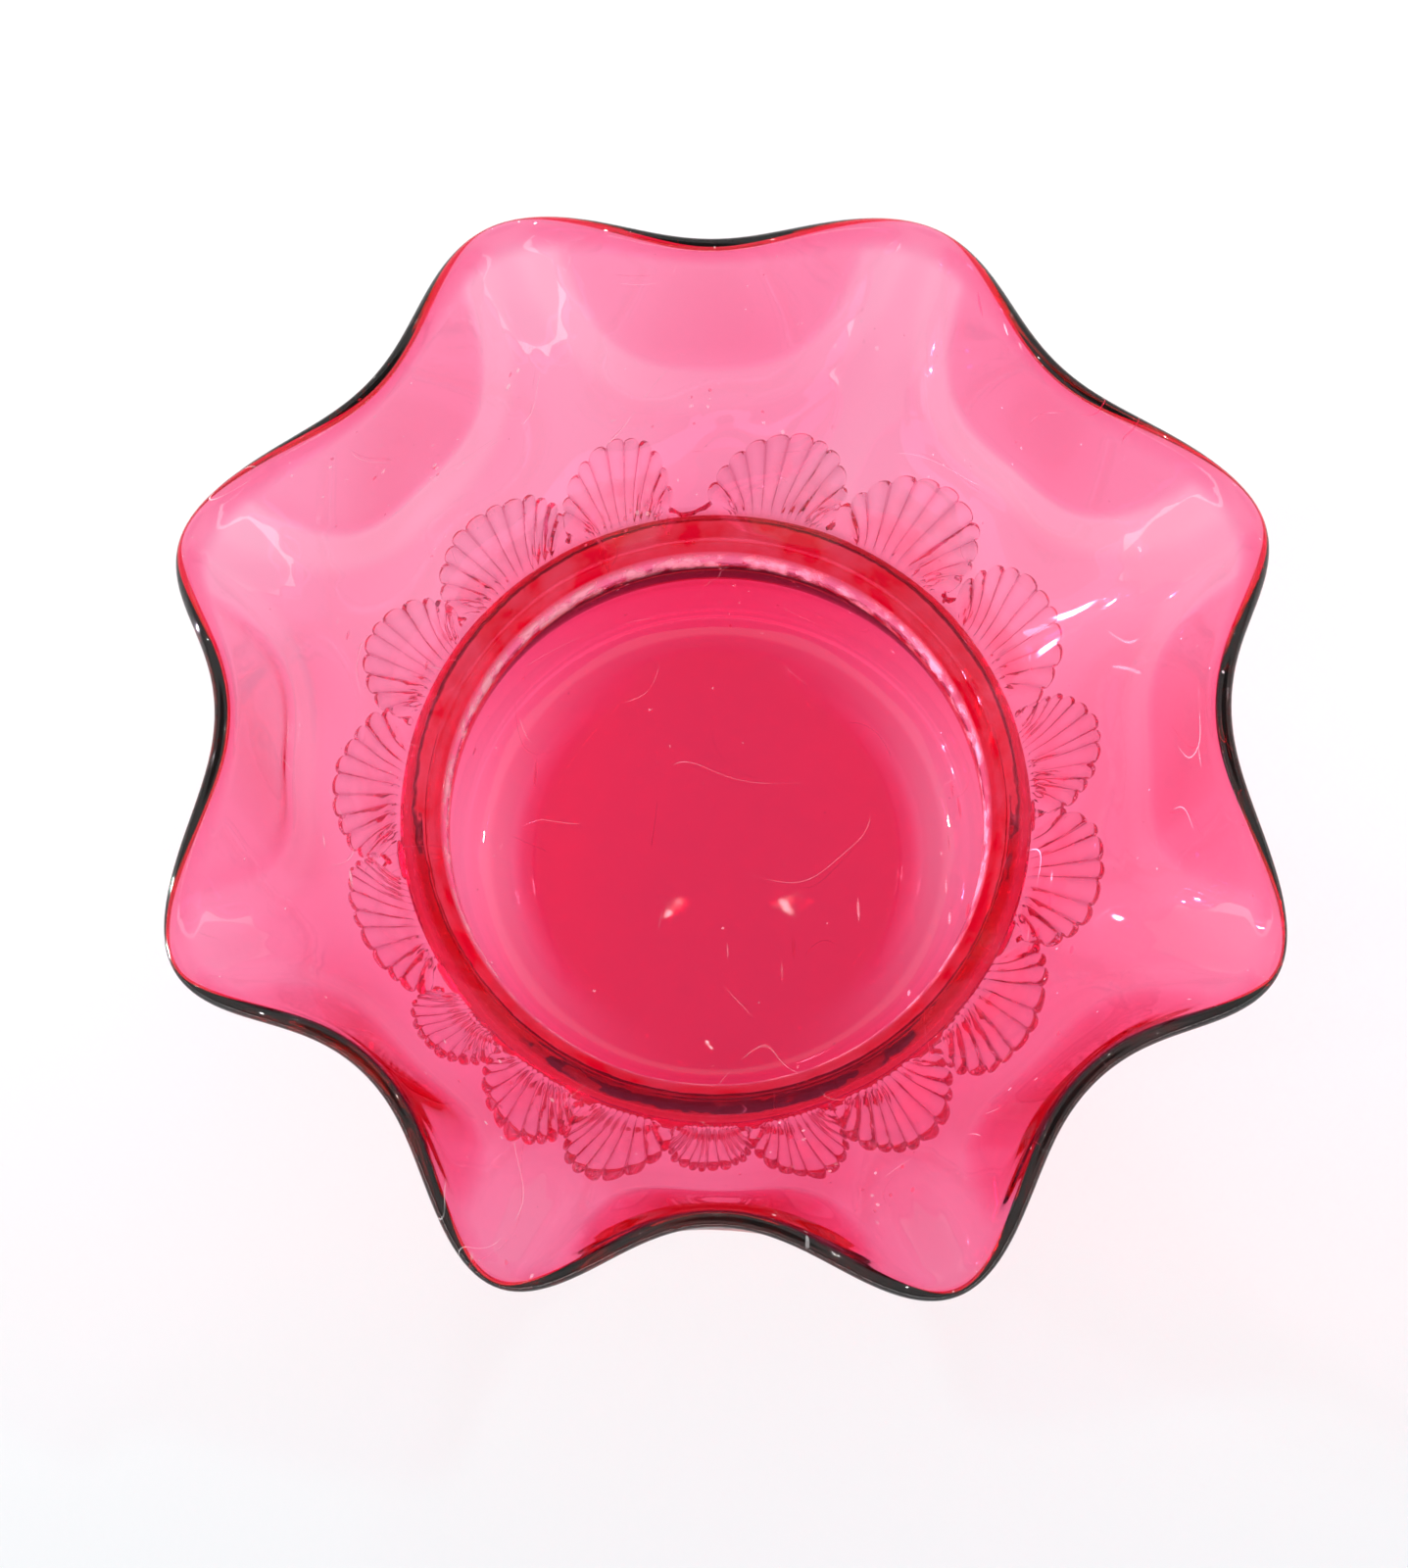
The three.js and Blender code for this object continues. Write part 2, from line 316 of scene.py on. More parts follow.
def bowl_mesh():
    outside, inside = [], []
    deep, seeds_and_sheen = [], []
    thick_sides = CUP_UNEVEN * (0.5 - 0.5 * np.cos(2 * angles))
    for controls, steps, first, start_wall, end_wall in STRETCHES:
        for i in range(first, steps + 1):
            t = i / steps
            outer, inwards, _ = station(controls, t)
            wall = wall_at(controls, t, start_wall, end_wall, thick_sides)
            thin = stretched_sheen_and_shade(t) if controls is flare_curve else np.zeros(AROUND)
            outside.append(outer + inwards * thin[:, None] / 2)
            inside.append(outer + inwards * (wall - thin / 2)[:, None])
            deep.append(painted_neck_shade(controls, t))
            seeds_and_sheen.append(neck_seeds_and_sheen(controls, t))
    outer, inwards, onwards = station(flare_curve, 1)
    edge = []
    for i in range(1, EDGE_STEPS):
        bow = math.pi * i / EDGE_STEPS
        half = (RIM_WALL + RIM_BEAD) / 2
        edge.append(outer + inwards * half * (1 - math.cos(bow)) + onwards * half * math.sin(bow))
    under = [ring((radius, 0)) for radius in BASE_RINGS]
    floor = []
    for radius in BASE_RINGS:
        climb = smoothstep(radius, FLOOR_FLAT, BASE_RADIUS)
        height = FLOOR_WALL + (HEEL_WALL + thick_sides - FLOOR_WALL) * climb
        floor.append(ring(np.stack([np.full(AROUND, radius), height], -1)))
    rings = [*under, *outside, *edge, *inside[::-1], *floor[::-1]]
    points = np.concatenate([*rings, [[0, 0, 0], [0, 0, FLOOR_WALL]]])
    last = (len(rings) - 1) * AROUND
    faces = []
    for j in range(AROUND):
        k = (j + 1) % AROUND
        for start in range(0, last, AROUND):
            faces.append((start + j, start + k, start + AROUND + k, start + AROUND + j))
        faces.append((last + AROUND, k, j))
        faces.append((last + AROUND + 1, last + j, last + k))
    thing = link_mesh("bowl_glass", points, faces)
    before = len(under) + len(outside) + len(edge)
    for name, marks in (("deep", deep), ("seeds_and_sheen", seeds_and_sheen)):
        values = np.zeros(len(points))
        for i, mark in enumerate(marks[::-1]):
            values[(before + i) * AROUND:(before + i + 1) * AROUND] = mark
        mark_points(thing, name, values)
    return thing


# The frill: one length of glass, laid on the neck and pinched into shells.
TRAIL_INSET = 0.3
TRAIL_DEPTH = 2.5
SEAT_GAP = 0.3  # as the solids have it, so that the shells stay where theirs are
SEAT_FUSE = 0.2  # how far the frill's seat runs into the neck, as the two glasses are fused
SHELL_DEPTH = 8.2
SHELL_ROOT = 2.8
SHELL_PALM = 2.2
SHELL_EDGE = 1.5
SHELL_LIFT = 36
SHELL_HEEL = 2.8  # how far the middle of the fan lies outside its root
SHELL_LEAD = 1.6  # how far a shell runs straight out before it fans
SHELL_WAIST = 0.7  # the width of the root as a share of the fan's
FAN_SPREAD = 105
FAN_WOBBLE = 0.25
RIBS = (10, 13)  # from the first, and fewer than the second
RIB_WIDTHS = (0.75, 1.25)
RIB_HEIGHTS = (0.7, 1.15)
RIB_HEIGHT = 0.62
RIB_ROUNDNESS = 0.5
RIB_AT_ENDS = 0.35  # the share of its height that a rib keeps beside the bridge
RIB_END = 0.12  # how far from the bridge a rib has all its height
GROOVE_CUT = 0.03  # how much shorter the fan is in a groove
RIB_JUT = 0.02
BRIDGE_DIP = (0.3, 0.9)
BRIDGE_LEAST = 1.6  # degrees between two roots from which a bridge is laid
BRIDGE_THICK = 0.3  # the share of the thinning that the bridge has
PALM_FULL = (0, 0.3)  # these are shares of the way from a shell's root to its edge
EDGE_THINS = (0.28, 0.6)
RIBS_RISE = (0.1, 0.45)
# where the painted shade of the grooves comes in
GROOVE_SHADE_SHOWS = (0.12, 0.4)
GRIP_FROM = (0.2, 0.4)  # where the pincers held it
GRIP_TO = (0.75, 0.95)
BEAD_SQUARENESS = 2.2
EDGE_BULGE = 0.8  # how far the rounded edge stands out, as a share of half its thickness
PINCHES = [  # from, to, crest, and how deep it is
    (-2, 17, 9, 1.05),
    (17.5, 41, 31, 1.17),
    (41.5, 66, 51, 1.27),
    (66, 88.5, 75, 1.17),
    (95.5, 115, 103, 1.15),
    (115, 139.5, 126, 1.04),
    (140, 160.5, 150, 1.06),
    (161, 186, 175, 0.93),
    (186.5, 210.5, 196, 0.88),
    (211, 226, 217, 0.8),
    (226.5, 243.5, 237, 0.95),
    (243.5, 260, 250, 1.05),
    (260.5, 273.5, 267, 0.7),
    (274, 289, 283, 1.05),
    (289, 308.5, 298, 1.12),
    (309, 334, 319, 1),
    (334.5, 357.5, 346, 1.08),
]
trail_radius = neck_top[0] + TRAIL_DEPTH
trail_middle = WAIST_HEIGHT + NECK_RISE / 2
root_radius = trail_radius + SEAT_GAP
fan_radius = root_radius + SHELL_HEEL
seat_low = WAIST_HEIGHT + TRAIL_INSET
seat_high = WAIST_HEIGHT + NECK_RISE - TRAIL_INSET

CHANCE_SEED = 7
COLUMNS_PER_RIB = 9
BRIDGE_COLUMNS = 8
BRIDGE_COLUMNS_PER_DEGREE = 2
SEAT_STEPS = 6
BEAD_STEPS = 6
SHELL_STEPS = 22
SHELL_EDGE_STEPS = 7

# One cut through the frill: the angle of its root, its edge in plan, how high its rib stands, its
# share of pinching, how much it is a groove, which is darkened with painted shade, and how much the
# chilled top of a rib.
Column = namedtuple("Column", "root edge rib pinch groove chill")


def fan_columns(pinch, chance):
    """The columns across one pinched shell."""
    start, end, crest, depth = pinch
    middle, half = math.radians((start + end) / 2), math.radians((end - start) / 2)
    fan_depth = SHELL_DEPTH * depth - SHELL_HEEL
    lean = fan_radius * math.sin(math.radians(crest) - middle)
    room = fan_radius * math.sin(half) - SEAT_GAP / 2
    tilted = abs(lean) * math.cos(half) + fan_depth * math.sin(half)
    half_width = math.sqrt(room**2 - tilted**2) / math.cos(half)
    ribs = int(chance.integers(*RIBS))
    bends = np.cumsum(chance.uniform(*RIB_WIDTHS, ribs))
    bends = np.concatenate([[0], bends / bends[-1]]) * 2 - 1
    heights = chance.uniform(*RIB_HEIGHTS, ribs)
    wobble = chance.uniform(-FAN_WOBBLE, FAN_WOBBLE, 3)
    columns = []
    for i in range(ribs * COLUMNS_PER_RIB + 1):
        rib = min(i // COLUMNS_PER_RIB, ribs - 1)
        share = i / COLUMNS_PER_RIB - rib
        side = bends[rib] + (bends[rib + 1] - bends[rib]) * share
        swell = math.sin(math.pi * share) ** RIB_ROUNDNESS if 0 < share < 1 else 0
        fan = math.radians(FAN_SPREAD) * side
        reach = 1 - GROOVE_CUT * (1 - swell) + RIB_JUT * (heights[rib] - 1)
        uneven = wobble @ [math.sin(fan), math.sin(2 * fan), math.cos(3 * fan)]
        across = (half_width * math.sin(fan) + lean * math.cos(fan)) * reach
        ahead = fan_radius + (fan_depth + uneven) * math.cos(fan) * reach
        root = math.asin(SHELL_WAIST * half_width * side / root_radius)
        edge = (
            ahead * math.cos(middle) - across * math.sin(middle),
            ahead * math.sin(middle) + across * math.cos(middle),
        )
        pinched = float(smoothstep(1 - abs(side), 0, RIB_END))
        height = swell * heights[rib] * (RIB_AT_ENDS + (1 - RIB_AT_ENDS) * pinched)
        chill = swell * pinched * min(heights[rib], 1)
        columns.append(Column(middle + root, edge, height, pinched, (1 - swell) * pinched, chill))
    return columns


def bridged(columns, chance):
    """The same columns, with plain ones added across the bridge from each shell to the next."""
    filled = []
    for i, column in enumerate(columns):
        filled.append(column)
        following = columns[(i + 1) % len(columns)]
        step = (following.root - column.root) % (2 * math.pi)
        if step < math.radians(BRIDGE_LEAST):
            continue
        count = max(BRIDGE_COLUMNS, round(math.degrees(step) * BRIDGE_COLUMNS_PER_DEGREE))
        radii = [math.hypot(*column.edge), math.hypot(*following.edge)]
        starts = math.atan2(column.edge[1], column.edge[0])
        swing = (math.atan2(following.edge[1], following.edge[0]) - starts) % (2 * math.pi)
        dip = chance.uniform(*BRIDGE_DIP)
        for j in range(1, count):
            t = j / count
            angle = starts + swing * t
            radius = radii[0] + (radii[1] - radii[0]) * t - dip * math.sin(math.pi * t)
            edge = (radius * math.cos(angle), radius * math.sin(angle))
            filled.append(Column(column.root + step * t, edge, 0.0, 0.0, 0.0, 0.0))
    return filled


def neck_radius(height):
    t = np.linspace(0, 1, 64)[:, None]
    curve = along_bend([np.asarray(p)[None] for p in neck_curve], t)
    return np.interp(height, curve[:, 1], curve[:, 0])


def frill_loop(column):
    """The points of one cut through the frill, and how much each is a groove, for painted shade, and a
    chilled rib.
    """
    shares = np.linspace(0, 1, SHELL_STEPS + 1)
    bead = np.linspace(0, 1, BEAD_STEPS + 1)[:-1]
    outward = np.array([math.cos(column.root), math.sin(column.root)])
    start = outward * root_radius
    lead = start + outward * SHELL_LEAD
    t = shares[:, None]
    plan = start * (1 - t) ** 2 + lead * 2 * t * (1 - t) + np.array(column.edge) * t**2
    radial = np.hypot(plan[:, 0], plan[:, 1])
    middle = trail_middle + (radial - root_radius) * math.tan(math.radians(SHELL_LIFT))
    palm = SHELL_ROOT + (SHELL_PALM - SHELL_ROOT) * smoothstep(shares, *PALM_FULL)
    thins = smoothstep(shares, *EDGE_THINS)
    thinning = thins * (BRIDGE_THICK + (1 - BRIDGE_THICK) * column.pinch)
    thick = palm + (SHELL_EDGE - SHELL_PALM) * thinning
    half = thick / 2 + column.rib * RIB_HEIGHT * smoothstep(shares, *RIBS_RISE)

    tall = (seat_high - seat_low) / 2
    bead_half = SHELL_ROOT / 2 + (tall - SHELL_ROOT / 2) * np.sqrt(1 - bead**BEAD_SQUARENESS)
    low_start = neck_radius(seat_low) - SEAT_FUSE
    low_radii = low_start + (root_radius - low_start) * bead
    bottom = [(*(outward * r), trail_middle - h) for r, h in zip(low_radii, bead_half)]
    bottom += [(x, y, z - h) for (x, y), z, h in zip(plan, middle, half)]
    high_start = neck_radius(seat_high) - SEAT_FUSE
    high_radii = high_start + (root_radius - high_start) * bead
    top = [(x, y, z + h) for (x, y), z, h in zip(plan, middle, half)][::-1]
    top += [(*(outward * r), trail_middle + h) for r, h in zip(high_radii[::-1], bead_half[::-1])]

    way = unit(plan[-1] - plan[-2])
    rounding = []
    for i in range(1, SHELL_EDGE_STEPS):
        bow = math.pi * i / SHELL_EDGE_STEPS
        x, y = plan[-1] + way * half[-1] * EDGE_BULGE * math.sin(bow)
        rounding.append((x, y, middle[-1] - half[-1] * math.cos(bow)))
    seat = []
    for i in range(1, SEAT_STEPS):
        height = seat_high + (seat_low - seat_high) * i / SEAT_STEPS
        seat.append((*(outward * (neck_radius(height) - SEAT_FUSE)), height))

    on_bead, on_seat = np.zeros(BEAD_STEPS), np.zeros(len(seat))
    fan = np.concatenate([on_bead, smoothstep(shares, *GROOVE_SHADE_SHOWS)])
    grip = smoothstep(shares, *GRIP_FROM) * (1 - smoothstep(shares, *GRIP_TO))
    grip = np.concatenate([on_bead, grip])
    groove_shaded = np.concatenate([fan, np.ones(len(rounding)), fan[::-1], on_seat])
    chilled = np.concatenate([grip, np.zeros(len(rounding)), grip[::-1], on_seat])
    points = np.array([*bottom, *rounding, *top, *seat])
    return points, column.groove * groove_shaded, column.chill * chilled


def frill_mesh():
    chance = np.random.default_rng(CHANCE_SEED)
    columns = [column for pinch in PINCHES for column in fan_columns(pinch, chance)]
    loops, grooves, chills = zip(*[frill_loop(column) for column in bridged(columns, chance)])
    count, per_loop = len(loops), len(loops[0])
    faces = []
    for i in range(count):
        here, after = i * per_loop, (i + 1) % count * per_loop
        for j in range(per_loop):
            k = (j + 1) % per_loop
            faces.append((here + j, after + j, after + k, here + k))
    thing = link_mesh("frill_glass", np.concatenate(loops), faces)
    mark_points(thing, "groove", np.concatenate(grooves))
    mark_points(thing, "chill", np.concatenate(chills))
    return thing


# Materials.
def nodes_of(name):
    material = bpy.data.materials.new(name)
    material.use_nodes = True
    tree = material.node_tree
    tree.nodes.clear()
    return material, tree


def add_node(tree, kind, **inputs):
    node = tree.nodes.new(kind)
    for name, value in inputs.items():
        node.inputs[name.replace("_", " ")].default_value = value
    return node


def math_node(tree, operation, first, second):
    """The output of a Math node whose two inputs are sockets or numbers."""
    node = tree.nodes.new("ShaderNodeMath")
    node.operation = operation
    for socket, value in zip(node.inputs, (first, second)):
        if isinstance(value, (int, float)):
            socket.default_value = value
        else:
            tree.links.new(value, socket)
    return node.outputs[0]


def product(tree, first, second):
    return math_node(tree, "MULTIPLY", first, second)


def larger(tree, first, second):
    return math_node(tree, "MAXIMUM", first, second)


def seen_rays(tree):
    """1 for what is seen straight, in a reflection or through glass, and 0 for light on its way."""
    path = tree.nodes.new("ShaderNodeLightPath")
    straight = larger(tree, path.outputs["Is Camera Ray"], path.outputs["Is Glossy Ray"])
    return larger(tree, straight, path.outputs["Is Transmission Ray"])


def noise(tree, place, scale, detail=2.0, roughness=0.5):
    node = add_node(tree, "ShaderNodeTexNoise", Scale=scale, Detail=detail, Roughness=roughness)
    tree.links.new(place, node.inputs["Vector"])
    return node.outputs["Fac"]


def ranged(tree, value, low, high, out_low=0.0, out_high=1.0):
    """A value spread from low..high to out_low..out_high, and held there."""
    node = add_node(tree, "ShaderNodeMapRange", From_Min=low, From_Max=high)
    node.inputs["To Min"].default_value = out_low
    node.inputs["To Max"].default_value = out_high
    tree.links.new(value, node.inputs["Value"])
    return node.outputs[0]


MIX_FACTOR, MIX_FROM, MIX_TO = 0, 6, 7  # the inputs that a Mix node has for colours
MIX_RESULT = 2  # and its output


def tinted(tree, factor, color, mark):
    """A colour turned towards another by a factor."""
    node = tree.nodes.new("ShaderNodeMix")
    node.data_type = "RGBA"
    if isinstance(color, tuple):
        node.inputs[MIX_FROM].default_value = color
    else:
        tree.links.new(color, node.inputs[MIX_FROM])
    node.inputs[MIX_TO].default_value = mark
    tree.links.new(factor, node.inputs[MIX_FACTOR])
    return node.outputs[MIX_RESULT]


def mark_of(tree, name):
    """The numbers that a mesh stores at its points under a name."""
    node = tree.nodes.new("ShaderNodeAttribute")
    node.attribute_name = name
    return node.outputs["Fac"]


WORN_PATCHES = (0.56, 0.62)  # the noise where wear begins and where it is full
NICKS = [(300.0, 24), (340.0, -62)]  # how fine they are, and the way they run
NICK_STRETCH = (1, 0.12, 1)  # which makes a nick about eight times as long as it is wide
NICK_SIZE = 0.09  # of a cell
NICK_CORE = 0.7  # the share of that within which it is full
NICK_PATCHES = 45.0
HAIRLINES = 55.0
HAIRLINE_WIDTH = 0.0018
HAIRLINE_PATCHES = HAIRLINES * 1.7
SPECKS = 1100.0
SPECK_SHARE = (0.79, 0.83)  # the noise where a speck of dust begins and where it is full
WORN_COLOR = (1.0, 0.94, 0.96, 1)
WORN_MILK = 0.4
ROUGHNESS = (0.02, 0.2)  # where polished and where scratched


def ticks(tree, place, scale, turned):
    """Short straight nicks that run one way, and only in patches."""
    mapping = add_node(tree, "ShaderNodeMapping", Scale=NICK_STRETCH)
    mapping.inputs["Rotation"].default_value = (0, 0, math.radians(turned))
    tree.links.new(place, mapping.inputs["Vector"])
    cells = add_node(tree, "ShaderNodeTexVoronoi", Scale=scale)
    tree.links.new(mapping.outputs[0], cells.inputs["Vector"])
    spots = ranged(tree, cells.outputs["Distance"], NICK_SIZE, NICK_SIZE * NICK_CORE)
    patches = ranged(tree, noise(tree, place, NICK_PATCHES), *WORN_PATCHES)
    return product(tree, spots, patches)


def hairlines(tree, place):
    """Long hair-thin scratches that wander, only here and there."""
    swirl = math_node(tree, "SUBTRACT", noise(tree, place, HAIRLINES, 0.0), 0.5)
    lines = ranged(tree, math_node(tree, "ABSOLUTE", swirl, 0.0), HAIRLINE_WIDTH, 0.0)
    patches = ranged(tree, noise(tree, place, HAIRLINE_PATCHES), *WORN_PATCHES)
    return product(tree, lines, patches)


def wear(tree, place):
    """The scratches and nicks, and those and the specks of dust together."""
    nicks = larger(tree, *[ticks(tree, place, scale, turned) for scale, turned in NICKS])
    marks = larger(tree, nicks, hairlines(tree, place))
    specks = ranged(tree, noise(tree, place, SPECKS, 1.0), *SPECK_SHARE)
    return marks, larger(tree, marks, specks)


# Painted shade: the deep red that the inside of the neck is turned to, in uneven patches.
NECK_SHADE_RED = (0.6, 0.0, 0.003, 1)
DEEP_PATCHES = 160.0
DEEP_RANGE = (0.2, 0.6, 0.9, 1.0)  # the noise from and to, and the share of the red there
# Seeds, whose milkiness is partly a painted silvery sheen.
SEEDS = 330.0
SEEDS_RANGE = (0.42, 0.6, 0.0, 0.6)  # the noise from and to, and how milky it is there
# Painted shade: the grooves between the shells' ribs are darkened towards this colour.
GROOVE_SHADE_COLOR = (0.5, 0.2, 0.3, 1)
GROOVE_SHADE_SHARE = 0.6
CHILL_PATCHES = 260.0
CHILL_RANGE = (0.4, 0.65, 0.0, 0.25)


def neck_marks(tree, place, color, milky):
    """The deep red of painted shade, and the band of seeds that is partly a painted sheen, on the inside
    of the bowl's neck.
    """
    uneven = ranged(tree, noise(tree, place, DEEP_PATCHES, 3.0), *DEEP_RANGE)
    color = tinted(tree, product(tree, mark_of(tree, "deep"), uneven), color, NECK_SHADE_RED)
    seeds = ranged(tree, noise(tree, place, SEEDS, 4.0), *SEEDS_RANGE)
    return color, larger(tree, milky, product(tree, mark_of(tree, "seeds_and_sheen"), seeds))


def frill_marks(tree, place, color, milky):
    """The grooves of the shells darkened with painted shade, and their ribs, a little milky where the
    pincers chilled them.
    """
    color = tinted(tree, product(tree, mark_of(tree, "groove"), GROOVE_SHADE_SHARE), color, GROOVE_SHADE_COLOR)
    patchy = ranged(tree, noise(tree, place, CHILL_PATCHES, 3.0), *CHILL_RANGE)
    return color, larger(tree, milky, product(tree, mark_of(tree, "chill"), patchy))


GLASS_IOR = 1.5
SHADE = (0.94, 0.94, 0.94, 1)  # what light is left behind the glass
DENSITY_MARGIN = 1.02  # which keeps the volume's colour above 0


def glass(name, absorption, surface_waves, own_marks):
    """Clear fire-polished glass, tinted by its depth, whose surface waves a little and is worn."""
    material, tree = nodes_of(name)
    fineness, depth = surface_waves
    link = tree.links.new
    place = tree.nodes.new("ShaderNodeTexCoord").outputs["Object"]
    soft = add_node(tree, "ShaderNodeBump", Strength=1.0, Distance=depth)
    link(noise(tree, place, fineness, roughness=0.4), soft.inputs["Height"])
    marks, worn = wear(tree, place)
    color = tinted(tree, worn, (1, 1, 1, 1), WORN_COLOR)
    color, milky = own_marks(tree, place, color, product(tree, worn, WORN_MILK))
    shader = add_node(tree, "ShaderNodeBsdfPrincipled", IOR=GLASS_IOR)
    link(color, shader.inputs["Base Color"])
    link(math_node(tree, "SUBTRACT", 1.0, milky), shader.inputs["Transmission Weight"])
    link(ranged(tree, marks, 0.0, 1.0, *ROUGHNESS), shader.inputs["Roughness"])
    link(soft.outputs["Normal"], shader.inputs["Normal"])
    shade = add_node(tree, "ShaderNodeBsdfTransparent", Color=SHADE)
    path = tree.nodes.new("ShaderNodeLightPath")
    mix = tree.nodes.new("ShaderNodeMixShader")
    link(path.outputs["Is Shadow Ray"], mix.inputs[0])
    link(shader.outputs[0], mix.inputs[1])
    link(shade.outputs[0], mix.inputs[2])
    volume = tree.nodes.new("ShaderNodeVolumeAbsorption")
    density = max(absorption) * DENSITY_MARGIN
    volume.inputs["Color"].default_value = (*[1 - a / density for a in absorption], 1)
    volume.inputs["Density"].default_value = density
    end = tree.nodes.new("ShaderNodeOutputMaterial")
    link(mix.outputs[0], end.inputs["Surface"])
    link(volume.outputs[0], end.inputs["Volume"])
    return material


PAPER_SIZE = 6  # metres
PAPER_DROP = 0.0001  # metres that it lies under the base
PAPER_COLOR = (0.93, 0.925, 0.93, 1)
PAPER_GRAIN = 900.0
GRAIN_DEPTH = 0.0001  # metres
OWN_WHITE = 0.68
# Painted shade: the paper's own white greys towards the viewer.
NEAR_PAINTED_SHADE = (0.74, 0.79, 0.82, 1)
PAINTED_SHADE_FADE = (-0.12, 0.02)  # metres along Y, from the grey to the white


def paper():
    """White paper with a fine grain, greyed towards the viewer by painted shade.

    Most of its white is its own, so that the bowl's tinted shade stays soft."""
    material, tree = nodes_of("white_paper")
    link = tree.links.new
    place = tree.nodes.new("ShaderNodeTexCoord").outputs["Object"]
    bump = add_node(tree, "ShaderNodeBump", Strength=0.2, Distance=GRAIN_DEPTH)
    link(noise(tree, place, PAPER_GRAIN, 3.0), bump.inputs["Height"])
    shader = add_node(tree, "ShaderNodeBsdfDiffuse", Color=PAPER_COLOR)
    link(bump.outputs["Normal"], shader.inputs["Normal"])
    along = tree.nodes.new("ShaderNodeSeparateXYZ")
    link(place, along.inputs[0])
    far = ranged(tree, along.outputs["Y"], *PAINTED_SHADE_FADE)
    white = add_node(tree, "ShaderNodeEmission", Strength=1.0)
    link(tinted(tree, far, NEAR_PAINTED_SHADE, (1, 1, 1, 1)), white.inputs["Color"])
    mix = tree.nodes.new("ShaderNodeMixShader")
    link(product(tree, seen_rays(tree), OWN_WHITE), mix.inputs[0])
    link(shader.outputs[0], mix.inputs[1])
    link(white.outputs[0], mix.inputs[2])
    end = tree.nodes.new("ShaderNodeOutputMaterial")
    link(mix.outputs[0], end.inputs["Surface"])
    return material


RUBY = (33, 780, 470)  # what it takes from red, green and blue in each metre
RUBY_WAVES = (90.0, 0.00004)  # how fine they are, and their depth in metres
CLEAR = (4, 14, 9)
CLEAR_WAVES = (300.0, 0.00018)

bowl = bowl_mesh()
bowl.data.materials.append(glass("ruby_glass", RUBY, RUBY_WAVES, neck_marks))
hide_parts("bowl")
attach(bowl, "root")

frill = frill_mesh()
frill.data.materials.append(glass("clear_glass", CLEAR, CLEAR_WAVES, frill_marks))
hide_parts("frill_trail", *[f"frill_shell_{i:02d}" for i in range(1, 18)])
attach(frill, "root")

# The white paper and the light.
bpy.ops.mesh.primitive_plane_add(size=PAPER_SIZE, location=(0, 0, -PAPER_DROP))
ground = bpy.context.active_object
ground.name = "paper"
ground.data.materials.append(paper())

# The room that shows in reflections: the sine of an elevation, and how bright the room is there.
ROOM_BANDS = [
    (0.0, 1.0),
    (0.12, 1.0),
    (0.16, 0.6),
    (0.36, 0.6),
    (0.48, 0.9),
    (0.80, 0.9),
    (0.90, 0.2),
]
TABLE_TOP = 0.12  # the sine of the elevation up to which the light from the table shows
TABLE_LIGHT = 3.0  # what that band's brightness gains on the viewer's side
TABLE_FADE = (0.3, -0.8)  # from the far side to the viewer's


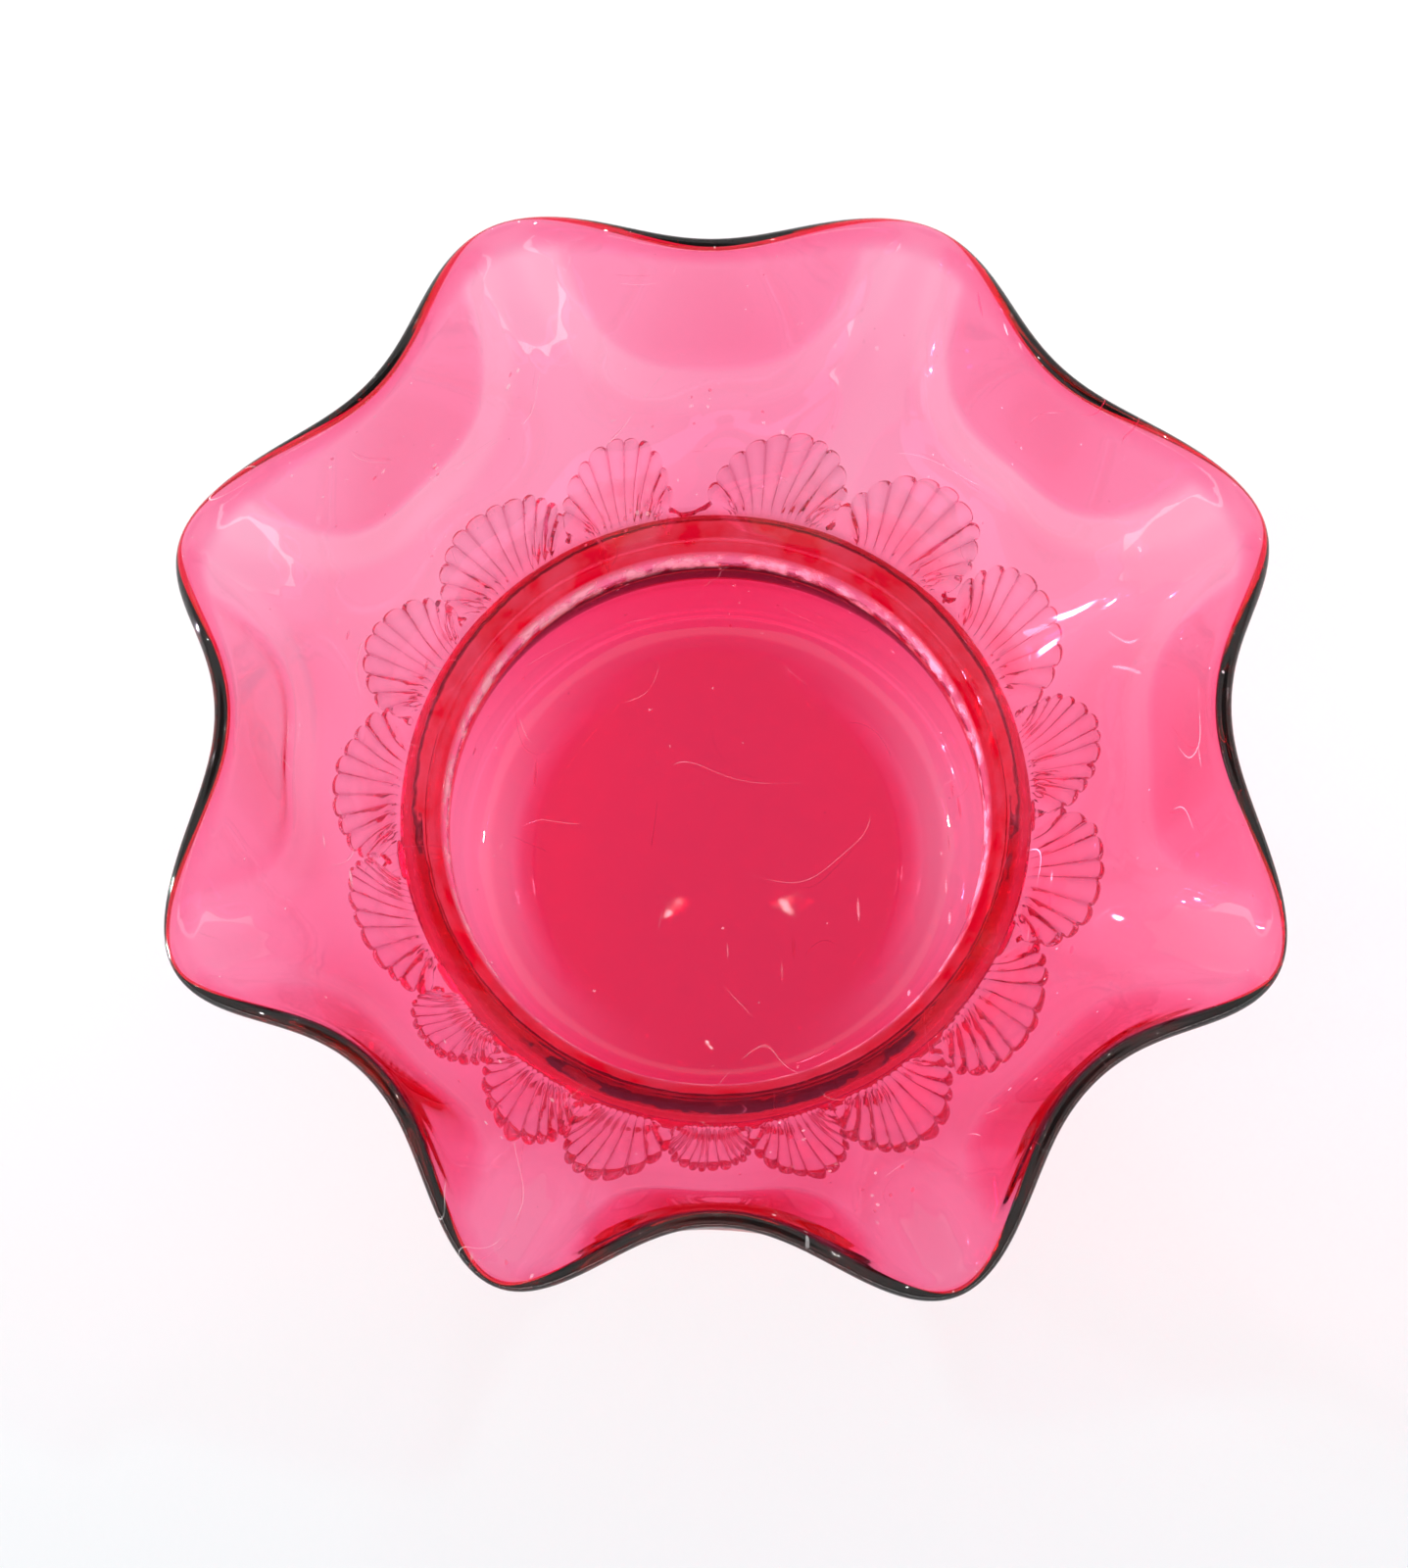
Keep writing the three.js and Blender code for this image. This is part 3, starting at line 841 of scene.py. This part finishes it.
def studio_world():
    """A plain white world. The darker and brighter parts of the room show only in reflections."""
    world = bpy.data.worlds.new("studio")
    scene.world = world
    world.use_nodes = True
    world.cycles.sampling_method = "NONE"
    tree = world.node_tree
    tree.nodes.clear()
    link = tree.links.new
    way = tree.nodes.new("ShaderNodeTexCoord")
    parts = tree.nodes.new("ShaderNodeSeparateXYZ")
    link(way.outputs["Generated"], parts.inputs[0])
    height = parts.outputs["Z"]
    ramp = tree.nodes.new("ShaderNodeValToRGB")
    marks = ramp.color_ramp.elements
    while len(marks) < len(ROOM_BANDS):
        marks.new(1.0)
    for mark, (position, light) in zip(marks, ROOM_BANDS):
        mark.position = position
        mark.color = (light, light, light, 1)
    link(height, ramp.inputs[0])
    near = ranged(tree, parts.outputs["Y"], *TABLE_FADE)
    table = product(tree, near, math_node(tree, "LESS_THAN", height, TABLE_TOP))
    room = tree.nodes.new("ShaderNodeBackground")
    link(ramp.outputs[0], room.inputs["Color"])
    link(math_node(tree, "ADD", product(tree, table, TABLE_LIGHT), 1.0), room.inputs["Strength"])
    white = add_node(tree, "ShaderNodeBackground", Color=(1, 1, 1, 1))
    path = tree.nodes.new("ShaderNodeLightPath")
    mix = tree.nodes.new("ShaderNodeMixShader")
    link(path.outputs["Is Glossy Ray"], mix.inputs[0])
    link(white.outputs[0], mix.inputs[1])
    link(room.outputs[0], mix.inputs[2])
    end = tree.nodes.new("ShaderNodeOutputWorld")
    link(mix.outputs[0], end.inputs["Surface"])


studio_world()

LAMP_DISTANCE = 1.8  # metres
LAMPS = [  # name, azimuth, elevation, width, height (0 for a disk), and brightness, where white is 1
    ("ceiling_left", 94.0, 77.4, 0.010, 0, 12),
    ("ceiling_right", 82.2, 77.4, 0.010, 0, 12),
    ("window_left", -166, 2.4, 0.06, 0.05, 2500),
    ("window_middle", -173, 4.5, 0.05, 0.04, 2500),
    ("window_right", 152, 2.6, 0.07, 0.05, 2500),
    ("panel_left", 170, 42, 0.10, 0.04, 400),
    ("panel_right", 10, 42, 0.10, 0.04, 400),
    ("panel_far", 100, 30, 0.12, 0.04, 150),
]


def lamp(name, azimuth, elevation, width, height, brightness):
    """A light of a brightness at a direction, turned to the bowl."""
    around, up = math.radians(azimuth), math.radians(elevation)
    way = Vector((math.cos(up) * math.cos(around), math.cos(up) * math.sin(around), math.sin(up)))
    data = bpy.data.lights.new(name, "AREA")
    data.shape = "RECTANGLE" if height else "DISK"
    data.size = width
    area = math.pi * width**2 / 4
    if height:
        data.size_y = height
        area = width * height
    data.energy = brightness * math.pi * area
    light = bpy.data.objects.new(name, data)
    light.location = way * LAMP_DISTANCE
    light.rotation_euler = (-way).to_track_quat("-Z", "Y").to_euler()
    light.visible_camera = False
    scene.collection.objects.link(light)


for item in LAMPS:
    lamp(*item)
